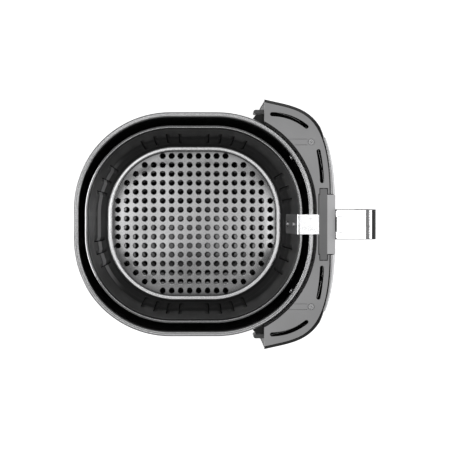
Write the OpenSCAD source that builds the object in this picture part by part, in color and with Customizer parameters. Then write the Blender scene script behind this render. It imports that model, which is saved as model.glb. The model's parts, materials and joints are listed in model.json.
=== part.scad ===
// Pull-out drawer of an air fryer: outer pan, lift-out basket, front panel and handle.
// Millimetres. +Z is up and the pan stands on z = 0. The handle points along -Y.
// The origin is the centre of the pan's underside.

/* [Pan] */
// Height of the pan's rim above the table
pan_h = 125; // [122:1:128]
// Half width of the pan's mouth, side to side
pan_mouth_x = 113; // [112:0.5:114]
// Half length of the pan's mouth, front to back
pan_mouth_y = 121.5; // [120.5:0.5:122]
// Width of the flat flange around the mouth
pan_flange = 5; // [4.5:0.5:5.5]
// Thickness of the pan's sheet
pan_t = 1.2; // [1:0.1:1.5]
// Corner radius of the pan's mouth
pan_corner_r = 97; // [90:1:100]

/* [Basket] */
// Half width of the basket's rolled rim, side to side
basket_rim_x = 104; // [103:0.5:104.5]
// Half length of the basket's rolled rim, front to back
basket_rim_y = 114.5; // [113.5:0.5:115]
// Corner radius of the basket's rim
basket_corner_r = 92; // [86:1:94]
// Height of the basket's rim above the table
basket_rim_z = 126.5; // [126:0.5:127]
// Height of the underside of the perforated floor
basket_floor_z = 26.8; // [26:0.2:28]
// Thickness of the basket's sheet
basket_t = 1; // [0.8:0.1:1.2]
// Spacing of the floor's holes
hole_pitch = 10; // [9.5:0.1:10.2]
// Diameter of the floor's holes
hole_d = 5.6; // [4.5:0.1:6]
// Width of the upright vents in the wall
vent_w = 1.8; // [1.2:0.1:2.5]

/* [Front panel] */
// Half width of the panel where it ends beside the pan
panel_half_w = 131; // [129:0.5:132]
// Distance from the origin to the panel's cut ends
panel_end_y = 73.8; // [72:0.2:75]
// Distance from the origin to the panel's front face
panel_front_y = 148.8; // [148:0.2:150]
// Height of the panel's flat top
panel_top = 133; // [132.5:0.1:133.5]
// Height of the panel's lower edge
panel_bottom = 2; // [1:0.5:6]
// Thickness of the moulded walls
wall_t = 2.4; // [2:0.1:2.8]
// How far the front face bulges forward halfway down
panel_bulge = 2; // [0:0.5:3]

/* [Handle] */
// Width of the handle
grip_w = 31.4; // [30:0.2:32]
// Distance from the origin to the handle's outer face
grip_out_y = 191.4; // [189:0.2:193]
// Height of the polished plate on top of the handle
handle_top = 136.2; // [136:0.1:137]
// Height of the grip's lower end
grip_bottom = 38; // [34:1:46]
// Depth of the grip, front to back
grip_depth = 14.5; // [12:0.5:15]
// Width of the strap that joins the basket to the handle
strap_w = 20.8; // [20:0.2:22]
// Width of the release button
button_w = 15.6; // [15:0.1:16]

/* [Hidden] */

eps = 0.01;              // overlap that keeps a cut from ending on a face
air = 0.4;               // gap between parts that move past each other
button_gap = 0.15;       // gap round the release button
pocket_gap = 0.8;        // gap round the handle's base block
corner_steps = 12;       // segments in a quarter round of an outline
arc_fn = 64;             // facets of a fine cylinder

// Basket wall: the sloped shoulder halfway up, with its outer size at its upper edge
shoulder_z0 = 65;
shoulder_z1 = 75;
shoulder_x = 95.6;
shoulder_y = 106;
shoulder_r = 85;
shoulder_in = 3.8;       // how far its lower edge stands further in
// Basket wall: its outer size where it meets the floor
foot_y = 97.6;
foot_x = 87;
foot_r = 77;
// Basket rim: a roll of this radius, on a neck that stands in by neck_in
roll_r = 2.1;
roll_z = basket_rim_z - roll_r;
neck_in = 2.8;
neck_z = roll_z - roll_r - 0.4;
// Floor plate
floor_y = 95.4;
floor_x = 84.8;
floor_corner_r = 74;
floor_t = 1.2;
// Holes in each row of the floor, from one side to the middle
HOLES_IN_ROW = [8, 12, 14, 16, 16, 18, 18, 18];

// Rivets
rivet_head_d = 6.4;
rivet_head_t = 1.6;
pan_rivet_y = 103.7;
pan_rivet_z = 112;
pan_rivet_turn = 34.6;
pan_rivet_grip = 4.5;

// Vents
vent_pitch = 13.5;
vent_z = 43;
vent_h = 49;
rear_vent_shift = 8;

// Front panel: lip round the pan, cover, screws and fascia
lip_gap = 1;
cover_t = 2.4;
screw_x = 86.2;
screw_y = 122.8;
slot_w = 4.4;
top_set_back = 3.6;      // how far the front face's rounded top edge stands back
skin_t = 1.3;
skin_gap = 0.1;
frame_inset = wall_t + skin_t + 0.4;
fascia_start = 13;

// Pan: the ledge that carries the basket, and the well below it
ledge_z = basket_floor_z - 0.5;
well_y = 88.5;
well_x = 78;
wall_foot_y = 112;
wall_foot_x = 103;

// Steel band round the outside of the pan's front, and its lugs
band_gap = 1.8;
band_t = 2;
band_z0 = 98;
band_z1 = 119;
band_end_y = 62;
lug_x = 116;

// Screws of the handle
screw_d = 3;
screw_head_d = 5.4;
screw_head_t = 1;

// Handle: base block, arm and grip
base_x = 31.1;
base_in_y = 131.2;
base_split_y = 139.6;
base_out_y = 148.2;
base_top = 133.4;
base_bottom = 97;
base_tab_x = 37.2;
arm_bottom = 117;
arm_top = handle_top - 2;
grip_in_y = grip_out_y - grip_depth;
latch_y = 146;
latch_z = 122.4;
latch_hub_d = 6.5;
latch_arm_z = 122.6;
latch_arm_t = 2;
pin_d = 3;
pin_clearance = 0.05;
pin_len = 24;
button_in_y = 150.6;
button_len = 17;
strap_top = 131.6;
strap_t = 1.6;
strap_bend_r = 3;
strap_leg_z = 108;
// Bracket plate: its outer face leans from plate_y0 at its lower end to plate_y1 at the bend
plate_z0 = 68;
plate_y0 = 101.4;
plate_y1 = 109.4;
plate_bend_z = 124;
plate_z1 = 124.6;
plate_t = 1.5;
strap_in_y = plate_y1 - plate_t;
BASKET_RIVETS = [81, 113];
screw_len = 7;
core_screw_x = 12.8;
core_screw_z = 126;
core_screw_len = 15;
rivet_d = 4;
pan_rivet_x = 70.7;
base_tab_h = 8;
cap_bottom = 112;
tongue_w = 30;
tongue_z0 = 118;
tongue_z1 = 131;
cavity_w = 16.4;
back_w = 26;
back_t = 3;
back_z0 = 48;
back_z1 = 106;
stem_y = 160;
stem_d = 4;
stem_z = 125;
latch_w = 12;
leg_y = 141.4;
nose_y = 147.2;
nose_z0 = 100;
spring_z = 108;
catch_w = 24;
catch_in_y = 145;
catch_out_y = 147.2;
catch_z0 = 92;
catch_z1 = 111.4;

// ---- outlines and lofts -------------------------------------------------

// Corner-rounded rectangle, as points counted anticlockwise
function rounded_box(hx, hy, r, z) = [
    for (q = [0:3])
    for (i = [0:corner_steps])
    let (a = 90 * q + 90 * i / corner_steps, sx = (q == 0 || q == 3) ? 1 : -1, sy = q < 2 ? 1 : -1)
    [sx * (hx - r) + r * cos(a), sy * (hy - r) + r * sin(a), z]
];

// Solid through rings of points, from the bottom ring to the last one. Each end is one flat face,
// or, when folded is true, strips that join the first half of its ring to the second half.
module loft(rings, closed = false, folded = false) {
    n = len(rings[0]);
    m = len(rings);
    side = [
        for (j = [0:closed ? m - 1 : m - 2])
        for (i = [0:n - 1])
        let (
            a = j * n + i,
            b = j * n + (i + 1) % n,
            c = ((j + 1) % m) * n + i,
            d = ((j + 1) % m) * n + (i + 1) % n
        )
        for (f = [[a, c, b], [b, c, d]]) f
    ];
    start = !folded ? [[for (i = [0:n - 1]) i]] : [
        for (i = [0:n / 2 - 2])
        for (f = [[i, i + 1, n - 2 - i], [i, n - 2 - i, n - 1 - i]]) f
    ];
    caps = closed ? [] : concat(start, [for (f = start) [for (i = reversed(f)) (m - 1) * n + i]]);
    polyhedron(points = [for (r = rings) for (p = r) p], faces = concat(side, caps));
}

// Half width of the front panel at a distance y in front of the origin
function panel_x(y) = let (d = (y - panel_end_y) / (panel_front_y - panel_end_y))
    (panel_half_w - 16 * d) * pow(max(0, 1 - pow(d, 4.4)), 1 / 2.9);

// Front panel's outline as a closed strip of points: round the outside, back round the inside.
// Each point moves inward along the outline's normal by inset, and forward by bulge at the middle.
panel_steps = 22;
function panel_y(i) = panel_end_y + (panel_front_y - panel_end_y) * (1 - pow(1 - i / panel_steps, 2.2));
function panel_point(i, side) = [side * panel_x(panel_y(i)), -panel_y(i)];
function panel_normal(i) = let (
    a = panel_point(max(0, i - 1), 1),
    b = panel_point(min(panel_steps, i + 1), 1),
    t = (b - a) / norm(b - a)
) i == panel_steps ? [0, -1] : i == 0 ? [1, 0] : [-t[1], t[0]];
// Over the stretch behind the fascia it moves in by a further skin.
function panel_inset(i, inset, skin) = inset + skin * min(1, max(0, (i - fascia_start + 2) / 2));
function panel_half(side, inset, forward, skin, first) = [
    for (i = [first:panel_steps - (side < 0 ? 1 : 0)])
    let (n = panel_normal(i), moved = panel_inset(i, inset, skin) * [side * n[0], n[1]])
    panel_point(i, side) - moved - [0, forward * pow(i / panel_steps, 2)]
];
function panel_edge(inset, forward, skin = 0, first = 0) = concat(
    panel_half(1, inset, forward, skin, first),
    reversed(panel_half(-1, inset, forward, skin, first))
);
function reversed(list) = [for (i = [len(list) - 1:-1:0]) list[i]];
function at_height(list, z) = [for (p = list) [p[0], p[1], z]];
function bulge_at(z) = panel_bulge * sin(180 * (z - panel_bottom) / (panel_top - panel_bottom));

// The same rounded rectangle as a flat outline with true arcs
module flat_box(hx, hy, r) {
    for (sx = [-1, 1])
        for (sy = [-1, 1])
            translate([sx * (hx - r), sy * (hy - r)])
                circle(r = r, $fn = 96);
    square([2 * (hx - r), 2 * hy], center = true);
    square([2 * hx, 2 * (hy - r)], center = true);
}

// Outline of the pan's mouth, moved outward: as a ring of points, and as a flat outline
function mouth_ring(out, z) = rounded_box(pan_mouth_x + out, pan_mouth_y + out, pan_corner_r + out, z);
module mouth_outline(out) {
    flat_box(pan_mouth_x + out, pan_mouth_y + out, pan_corner_r + out);
}

// Round bar along X
module bar_x(d, length) {
    rotate([0, 90, 0])
        cylinder(d = d, h = length, center = true, $fn = arc_fn);
}

// Round bar along Y, from the origin towards -Y
module bar_out(d, length) {
    rotate([90, 0, 0])
        cylinder(d = d, h = length, $fn = arc_fn);
}

// Wire coil along Z with a round section
module coil_spring(coil_d, wire_d, length, turns) {
    steps = 10;
    sides = 6;
    loft([
        for (k = [0:turns * steps])
        let (a = 360 * k / steps, z = wire_d / 2 + (length - wire_d) * k / (turns * steps))
        [for (s = [0:sides - 1]) let (b = -360 * s / sides, r = coil_d / 2 + wire_d / 2 * cos(b))
            [r * cos(a), r * sin(a), z + wire_d / 2 * sin(b)]]
    ]);
}

// ---- pan ---------------------------------------------------------------

module pan() {
    well_r = 66;
    ledge_r = 84;
    color("#3c3c3e")
        difference() {
            loft([
                rounded_box(well_x - 7, well_y - 7, well_r - 7, 0),
                rounded_box(well_x - 2, well_y - 2, well_r - 2, 2),
                rounded_box(well_x, well_y, well_r, 7),
                rounded_box(well_x + 1.5, well_y + 1.5, well_r, ledge_z - pan_t - 2),
                rounded_box(well_x + 3.5, well_y + 3.5, well_r + 2, ledge_z - pan_t),
                rounded_box(wall_foot_x - 3, wall_foot_y - 3, ledge_r - 3, ledge_z - pan_t),
                rounded_box(wall_foot_x + pan_t, wall_foot_y + pan_t, ledge_r, ledge_z + 3),
                rounded_box(pan_mouth_x + pan_t, pan_mouth_y + pan_t, pan_corner_r + pan_t, pan_h - 2.2),
                mouth_ring(pan_flange - 1, pan_h - 3),
                mouth_ring(pan_flange, pan_h - 2.4),
                mouth_ring(pan_flange, pan_h - 0.8),
                mouth_ring(pan_flange - 1, pan_h),
                rounded_box(pan_mouth_x + 0.8, pan_mouth_y + 0.8, pan_corner_r + 0.8, pan_h),
                rounded_box(pan_mouth_x, pan_mouth_y, pan_corner_r, pan_h - 1),
                rounded_box(wall_foot_x, wall_foot_y, ledge_r - pan_t, ledge_z + 3),
                rounded_box(wall_foot_x - 3.5, wall_foot_y - 3.5, ledge_r - 4, ledge_z),
                rounded_box(well_x + 2, well_y + 2, well_r, ledge_z),
                rounded_box(well_x, well_y, well_r - 1, ledge_z - 3),
                rounded_box(well_x - pan_t, well_y - pan_t, well_r - 2, 7),
                rounded_box(well_x - 3, well_y - 3, well_r - 4, 2.4),
                rounded_box(well_x - 8, well_y - 8, well_r - 9, pan_t)
            ]);
            for (side = [-1, 1])
                pan_rivet_place(side)
                    translate([0, 20, 0])
                        bar_out(rivet_d, 40);
        }
}

// Where a rivet passes through the pan's front wall: its inner face is at local y = 0
module pan_rivet_place(side) {
    translate([side * pan_rivet_x, -pan_rivet_y, pan_rivet_z])
        rotate([0, 0, side * pan_rivet_turn])
            children();
}

module pan_rivets() {
    color("#c9c9cb")
        for (side = [-1, 1])
            pan_rivet_place(side)
                union() {
                    translate([0, rivet_head_t, 0])
                        bar_out(rivet_head_d, rivet_head_t);
                    bar_out(rivet_d, pan_rivet_grip);
                    translate([0, -pan_rivet_grip, 0])
                        bar_out(rivet_head_d, rivet_head_t);
                }
}

// Steel band round the outside of the pan's front, which carries the front panel
module pan_bracket() {
    inner_x = pan_mouth_x + band_gap;
    inner_y = pan_mouth_y + band_gap;
    inner_r = pan_corner_r + band_gap;
    color("#222224")
        difference() {
            union() {
                translate([0, 0, band_z0])
                    linear_extrude(band_z1 - band_z0)
                        difference() {
                            flat_box(inner_x + band_t, inner_y + band_t, inner_r + band_t);
                            flat_box(inner_x, inner_y, inner_r);
                            translate([-200, -band_end_y])
                                square([400, 300]);
                        }
                for (side = [-1, 1])
                    translate([0, 0, band_z0 + 1])
                        linear_extrude(band_z1 - band_z0 - 4)
                            polygon([
                                [side * lug_x, -66],
                                [side * lug_x, -panel_end_y],
                                [side * 102.8, -panel_end_y],
                                [side * 108.2, -band_end_y - 0.6],
                                [side * 112, -band_end_y - 0.6]
                            ]);
            }
            for (side = [-1, 1])
                pan_rivet_place(side)
                    bar_out(rivet_d, 20);
        }
}

// ---- front panel -------------------------------------------------------

// Inside of the front panel, seen from above
module panel_inside(inset, forward = 0) {
    difference() {
        polygon(panel_edge(inset, forward));
        mouth_outline(pan_flange + lip_gap);
    }
}

// Where the cover's two screws go
module at_screws() {
    for (side = [-1, 1])
        translate([side * screw_x, -screw_y, 0])
            children();
}

// Pocket that takes the handle's base block, from its floor up
module handle_pocket(z0) {
    translate([-base_x - pocket_gap, -base_out_y - 8, z0])
        cube([2 * (base_x + pocket_gap), base_out_y + 8 - base_in_y + pocket_gap, 200]);
    translate([-base_tab_x - pocket_gap, -base_split_y - pocket_gap, base_top - base_tab_h - pocket_gap])
        cube([2 * (base_tab_x + pocket_gap), base_split_y - base_in_y - 1.1 + 2 * pocket_gap, 200]);
}

// Notch that lets the strap through the frame's lip
module strap_notch() {
    translate([-strap_w / 2 - air, -base_in_y - air, strap_top - strap_t - air])
        cube([strap_w + 2 * air, 8, 20]);
}

// Inner moulding: floor, lip round the pan, end walls, ribs and screw posts
module front_frame() {
    frame_z0 = 14;
    frame_z1 = panel_top - cover_t;
    floor_h = 2;
    rib_z1 = 96;
    pad_z0 = 88;
    color("#2b2b2d")
        union() {
            difference() {
                union() {
                    translate([0, 0, frame_z0])
                        linear_extrude(frame_z1 - frame_z0)
                            frame_walls();
                    translate([0, 0, frame_z0])
                        linear_extrude(floor_h)
                            panel_inside(wall_t + 0.2, 0.5);
                    translate([0, 0, frame_z0])
                        linear_extrude(rib_z1 - frame_z0)
                            frame_ribs();
                }
                handle_pocket(base_bottom - 1);
                strap_notch();
                at_screws()
                    translate([0, 0, frame_z1 - 16])
                        cylinder(d = 2.8, h = 20, $fn = arc_fn);
            }
            // Pads that carry the catch plate
            for (side = [-1, 1])
                translate([side * 16 - 8, -catch_in_y, pad_z0])
                    cube([16, 4, catch_z1 - pad_z0]);
        }
}

module frame_walls() {
    lip_t = 1.4;
    end_t = 2.4;
    outside = pan_flange + lip_gap + lip_t;
    intersection() {
        panel_inside(frame_inset);
        union() {
            mouth_outline(outside);
            translate([-panel_half_w, -panel_end_y - end_t])
                square([2 * panel_half_w, end_t]);
            at_screws()
                circle(d = 10, $fn = arc_fn);
        }
    }
}

module frame_ribs() {
    rib_t = 2;
    intersection() {
        panel_inside(frame_inset);
        for (side = [-1, 1])
            for (x = [18, 36, 60, screw_x, 108])
                translate([side * x - rib_t / 2, -150])
                    square([rib_t, 100]);
    }
}

// How far the rounded edges stand in from the panel's outline at a height
function top_round(z) = let (t = max(0, z - (panel_top - 7)) / 7) 1 - sqrt(max(0, 1 - t * t));
function bottom_round(z) = let (t = max(0, panel_bottom + 8 - z) / 8) 1 - sqrt(max(0, 1 - t * t));
function edge_inset(z) = 0.5 * top_round(z) + 1.6 * bottom_round(z);
function edge_forward(z) = bulge_at(z) - top_set_back * top_round(z);
PANEL_LEVELS = [
    for (t = [0, 0.02, 0.06]) panel_bottom + t * (panel_top - panel_bottom),
    for (t = [0.15:0.16:0.95]) panel_bottom + t * (panel_top - panel_bottom),
    for (drop = [5.2, 3.6, 2.2, 1.2, 0.5, 0.1, 0]) panel_top - drop
];

// Upright cross-sections of a curved wall, one for each point along the panel's outline:
// up the outer face, which stands in by skin behind the fascia, and down the inner face
function panel_sections(skin, thickness, first) =
    let (
        outer = [
            for (z = PANEL_LEVELS)
            at_height(panel_edge(edge_inset(z), edge_forward(z), skin, first), z)
        ],
        inner = [
            for (z = PANEL_LEVELS)
            at_height(panel_edge(edge_inset(z) + thickness, edge_forward(z), 0, first), z)
        ]
    )
    [
        for (i = [0:len(outer[0]) - 1])
        concat([for (ring = outer) ring[i]], [for (ring = reversed(inner)) ring[i]])
    ];

// Glossy outer shell, set back at the front for the bright fascia
module front_shell() {
    color("#1d1d1f")
        difference() {
            loft(panel_sections(skin_t + skin_gap, wall_t, 0), folded = true);
            handle_pocket(cap_bottom - air);
        }
}

// Bright fascia that wraps the middle of the shell
module front_fascia() {
    color("#c4c5c7")
        difference() {
            loft(panel_sections(0, skin_t, fascia_start), folded = true);
            handle_pocket(cap_bottom - air);
        }
}

// Curved slot with round ends, following a circle round centre
module arc_slot(centre, r, a0, a1, width) {
    steps = 10;
    arc = [for (i = [0:steps]) a0 + (a1 - a0) * i / steps];
    translate(centre) {
        polygon(concat(
            [for (a = arc) (r + width / 2) * [cos(a), sin(a)]],
            [for (a = reversed(arc)) (r - width / 2) * [cos(a), sin(a)]]
        ));
        for (a = [a0, a1])
            translate(r * [cos(a), sin(a)])
                circle(d = width, $fn = arc_fn);
    }
}

// One half of the panel's top cover: side is 1 for the right half, on +X, and -1 for the left
module half_cover(side) {
    groove_w = 0.7;
    groove_h = 0.9;
    groove_x = 3;
    groove_y0 = 96;
    groove_y1 = 118.5;
    inner_gap = pan_flange + 2.4;
    mirror([side < 0 ? 1 : 0, 0, 0])
        difference() {
            translate([0, 0, panel_top - cover_t])
                linear_extrude(cover_t)
                    difference() {
                        intersection() {
                            polygon(panel_edge(wall_t + 0.9, -top_set_back));
                            translate([strap_w / 2, -160])
                                square([200, 160]);
                        }
                        mouth_outline(inner_gap);
                        arc_slot([56.7, -81.2], 58.5, -0.7, -38.9, slot_w);
                        arc_slot([37.3, 66.2], 200.6, -78.7, -87.7, slot_w);
                    }
            for (x = [-groove_x, groove_x])
                translate([screw_x + x - groove_w / 2, -groove_y1, panel_top - groove_h])
                    cube([groove_w, groove_y1 - groove_y0, 5]);
            translate([screw_x, -screw_y, panel_top - 1.2])
                cylinder(d = 7, h = 10, $fn = arc_fn);
            translate([screw_x, -screw_y, panel_top - 10])
                cylinder(d = 3.4, h = 20, $fn = arc_fn);
            handle_pocket(base_bottom);
        }
}

module right_cover() {
    color("#8f9092")
        half_cover(1);
}

module left_cover() {
    color("#8f9092")
        half_cover(-1);
}

module cover_screws() {
    head_d = 5.8;
    head_h = 1.5;
    color("#d8d8d8")
        at_screws()
            difference() {
                union() {
                    translate([0, 0, panel_top - 1.2])
                        cylinder(d = head_d, h = head_h, $fn = arc_fn);
                    translate([0, 0, panel_top - 14])
                        cylinder(d = 2.8, h = 13, $fn = arc_fn);
                }
                for (turn = [0, 90])
                    rotate([0, 0, turn])
                        translate([-1.7, -0.4, panel_top - 0.6])
                            cube([3.4, 0.8, 2]);
            }
}

// Rounded guide tabs that stand out of the panel's two ends
module side_tabs() {
    tab_w = 4.4;
    tab_x = 119;
    tab_out = 8.4;
    color("#7d7e80")
        for (side = [-1, 1])
            translate([side * tab_x, -panel_end_y, 84])
                linear_extrude(28)
                    union() {
                        translate([-tab_w / 2, 0])
                            square([tab_w, tab_out]);
                        translate([0, tab_out])
                            circle(d = tab_w, $fn = arc_fn);
                    }
}

// Grooved plate behind the fascia that the latch's nose rests in
module catch_plate() {
    color("#9a9b9d")
        translate([-catch_w / 2, -catch_out_y, catch_z0])
            difference() {
                cube([catch_w, catch_out_y - catch_in_y, catch_z1 - catch_z0]);
                translate([catch_w / 2 - latch_w / 2 - air, -1, nose_z0 - air - catch_z0])
                    cube([latch_w + 2 * air, 20, 40]);
            }
}

// ---- basket ------------------------------------------------------------

// Outlines of the basket's rim, shoulder and foot, moved inward by inset
function rim_ring(inset, z) =
    rounded_box(basket_rim_x - inset, basket_rim_y - inset, basket_corner_r - inset, z);
function shoulder_ring(inset, z) =
    rounded_box(shoulder_x - inset, shoulder_y - inset, shoulder_r - inset, z);
function foot_ring(inset, rise) =
    rounded_box(foot_x - inset, foot_y - inset, foot_r - inset, basket_floor_z + floor_t + rise);

// Place on the shoulder's outline: face 0 is the front, 1 and 3 the sides, 2 the rear
module on_wall(face, along) {
    hx = face % 2 == 0 ? shoulder_x : shoulder_y;
    hy = face % 2 == 0 ? shoulder_y : shoulder_x;
    flat = hx - shoulder_r;
    past = max(0, abs(along) - flat);
    a = asin(min(1, past / shoulder_r));
    across = sign(along) * (min(abs(along), flat) + shoulder_r * sin(a));
    out = hy - shoulder_r + shoulder_r * cos(a);
    rotate([0, 0, 90 * face])
        translate([across, -out, 0])
            rotate([0, 0, sign(along) * a])
                children();
}

// Upright vents in groups on the four sides
module wall_vents() {
    for (face = [0:3])
        for (side = [-1, 1])
            for (k = [0:face % 2 == 1 ? 3 : 2]) {
                first = face % 2 == 1 ? 16 : 27;
                shift = face == 2 ? -rear_vent_shift : 0;
                on_wall(face, side * (first + vent_pitch * k) + shift)
                    translate([-vent_w / 2, -12, vent_z])
                        cube([vent_w, 22, vent_h]);
            }
}

// Drafted wall with a bead at its foot, a shoulder and a rolled rim
module basket() {
    t = basket_t;
    color("#4a4a4c")
        difference() {
            loft([
                foot_ring(7.2, 0),
                foot_ring(1, 0),
                foot_ring(0, 2),
                shoulder_ring(shoulder_in, shoulder_z0),
                shoulder_ring(0, shoulder_z1),
                rim_ring(neck_in, neck_z),
                for (a = [-60:40:180]) rim_ring(roll_r - roll_r * cos(a), roll_z + roll_r * sin(a)),
                rim_ring(neck_in + t, neck_z),
                shoulder_ring(t, shoulder_z1 + 0.4),
                shoulder_ring(shoulder_in + t, shoulder_z0 + 0.4),
                foot_ring(0.8, 6),
                foot_ring(2.2, 3.6),
                foot_ring(3.4, 3.4),
                foot_ring(5.8, 3),
                foot_ring(6.9, 1.8)
            ], closed = true);
            wall_vents();
            basket_rivet_holes();
        }
}

// Perforated floor plate: rows of holes that follow its rounded outline
module basket_floor() {
    rows = len(HOLES_IN_ROW);
    function across(row) = (rows - row - 0.5) * hole_pitch;
    function along(row, i) = (i - (HOLES_IN_ROW[row] - 1) / 2) * hole_pitch;
    color("#6c6d6f")
        translate([0, 0, basket_floor_z])
            linear_extrude(floor_t)
                difference() {
                    flat_box(floor_x, floor_y, floor_corner_r);
                    for (row = [0:rows - 1])
                        for (side = [-1, 1])
                            for (i = [0:HOLES_IN_ROW[row] - 1])
                                translate([side * across(row), along(row, i)])
                                    circle(d = hole_d, $fn = 24);
                }
}

function plate_y(z) = plate_y0 + (plate_y1 - plate_y0) * min(1, (z - plate_z0) / (plate_bend_z - plate_z0));
// Outer face of the basket's front wall, above its shoulder
function wall_y(z) =
    shoulder_y + (basket_rim_y - neck_in - shoulder_y) * (z - shoulder_z1) / (neck_z - shoulder_z1);

module basket_rivet_holes() {
    for (z = BASKET_RIVETS)
        translate([0, -90, z])
            bar_out(rivet_d, 30);
}

// Steel plate up the inside of the basket's front wall
module bracket_plate() {
    corner = 3;
    color("#77787a")
        difference() {
            rotate([90, 0, 90])
                translate([0, 0, -strap_w / 2])
                    linear_extrude(strap_w)
                        polygon([
                            [-plate_y0, plate_z0],
                            [-plate_y1, plate_bend_z],
                            [-plate_y1, plate_z1],
                            [plate_t - plate_y1, plate_z1],
                            [plate_t - plate_y1, plate_bend_z],
                            [plate_t - plate_y0, plate_z0]
                        ]);
            for (side = [-1, 1])
                translate([side * strap_w / 2, -plate_y0, plate_z0])
                    rotate([0, 45, 0])
                        cube([corner * sqrt(2), 30, corner * sqrt(2)], center = true);
            basket_rivet_holes();
        }
}

module basket_rivets() {
    color("#e2e2e4")
        for (z = BASKET_RIVETS) {
            inside = plate_y(z) - plate_t;
            translate([0, rivet_head_t - inside, z])
                bar_out(rivet_head_d, rivet_head_t + 0.2);
            translate([0, -inside, z])
                bar_out(rivet_d, wall_y(z) - inside + 0.6);
            translate([0, -wall_y(z) - 0.5, z])
                bar_out(rivet_head_d, rivet_head_t);
        }
}

// Steel strap: bent over from the plate, across both rims, then down behind the handle's base
module basket_strap() {
    bend = [strap_in_y + strap_bend_r, strap_top - strap_bend_r];
    inner_r = strap_bend_r - strap_t;
    color("#e8e8ea")
        difference() {
            rotate([90, 0, -90])
                translate([0, 0, -strap_w / 2])
                    linear_extrude(strap_w)
                        polygon([
                            [strap_in_y, plate_z1],
                            for (a = [180:-15:90]) bend + strap_bend_r * [cos(a), sin(a)],
                            [base_in_y, strap_top],
                            [base_in_y, strap_leg_z],
                            [base_in_y - strap_t, strap_leg_z],
                            [base_in_y - strap_t, strap_top - strap_t],
                            for (a = [90:15:180]) bend + inner_r * [cos(a), sin(a)],
                            [strap_in_y + strap_t, plate_z1]
                        ]);
            at_strap_screws()
                screw_hole();
            strap_lines();
        }
}

// Fine pressed lines in the strap's top
module strap_lines() {
    line_w = 0.6;
    line_h = 0.25;
    for (side = [-1, 1])
        translate([side * 5.7 - line_w / 2, -base_in_y + 3, strap_top - line_h])
            cube([line_w, 14, 1]);
    translate([-strap_w, -base_in_y + 11, strap_top - line_h])
        cube([2 * strap_w, line_w, 1]);
}

// ---- handle ------------------------------------------------------------

// Two short screws that hold the strap to the base, with their heads flush in the strap
module at_strap_screws() {
    for (side = [-1, 1])
        translate([side * 6.6, strap_t - base_in_y, 118.5])
            children();
}

// Two longer screws that hold the base to the handle's core, flush in the base
module at_core_screws() {
    for (side = [-1, 1])
        translate([side * core_screw_x, -base_in_y, core_screw_z])
            children();
}

// A screw's head starts at local y = 0 and its thread runs towards -Y
module screw_hole(length = screw_len) {
    translate([0, 1, 0])
        bar_out(screw_head_d, screw_head_t + 1);
    bar_out(screw_d, length);
}
module screw(length = screw_len) {
    difference() {
        union() {
            bar_out(screw_head_d, screw_head_t);
            bar_out(screw_d, length);
        }
        translate([-1.6, -0.5, -0.35])
            cube([3.2, 2, 0.7]);
        translate([-0.35, -0.5, -1.6])
            cube([0.7, 2, 3.2]);
    }
}

module handle_base() {
    color("#808183")
        difference() {
            union() {
                translate([-base_x, -base_split_y, base_bottom])
                    cube([2 * base_x, base_split_y - base_in_y, base_top - base_bottom]);
                translate([-base_tab_x, -base_split_y, base_top - base_tab_h])
                    cube([2 * base_tab_x, base_split_y - base_in_y - 1.1, base_tab_h]);
            }
            translate([-latch_w / 2 - 1, -base_split_y - 1, base_bottom - 1])
                cube([latch_w + 2, 4.6, 23]);
            translate([0, -base_split_y + 4.7, spring_z])
                bar_out(6, 10);
            at_strap_screws()
                screw_hole();
            at_core_screws()
                screw_hole(20);
        }
}

// Front part of the base block, with a window for the core's tongue
module handle_cap() {
    color("#bcbdbf")
        difference() {
            translate([-base_x, -base_out_y, cap_bottom])
                cube([2 * base_x, base_out_y - base_split_y, base_top - cap_bottom]);
            translate([-tongue_w / 2 - 0.05, -200, tongue_z0 - 0.05])
                cube([tongue_w + 0.1, 100, tongue_z1 - tongue_z0 + 0.1]);
            translate([-latch_w / 2 - 1, -base_out_y + 2, cap_bottom - 1])
                cube([latch_w + 2, 20, 20]);
        }
}

// Side outline of the arm and grip, as [distance out, height]
grip_mid_y = (grip_in_y + grip_out_y) / 2;
GRIP_OUTLINE = [
    [base_out_y, arm_bottom], [grip_in_y - 5, arm_bottom],
    for (a = [80:-20:0]) [grip_in_y - 5 + 5 * sin(90 - a), arm_bottom - 5 + 5 * cos(90 - a)],
    [grip_in_y, grip_bottom + 6],
    for (a = [180:20:360]) [grip_mid_y + grip_depth / 2 * cos(a), grip_bottom + 6 + 6 * sin(a)],
    [grip_out_y, arm_top - 9],
    [grip_out_y - 0.5, arm_top - 6],
    [grip_out_y - 2.2, arm_top - 3.4],
    [grip_out_y - 5.3, arm_top - 1.4],
    [grip_out_y - 8.7, arm_top - 0.4],
    [grip_out_y - 12.2, arm_top],
    [base_out_y, arm_top]
];

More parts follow.
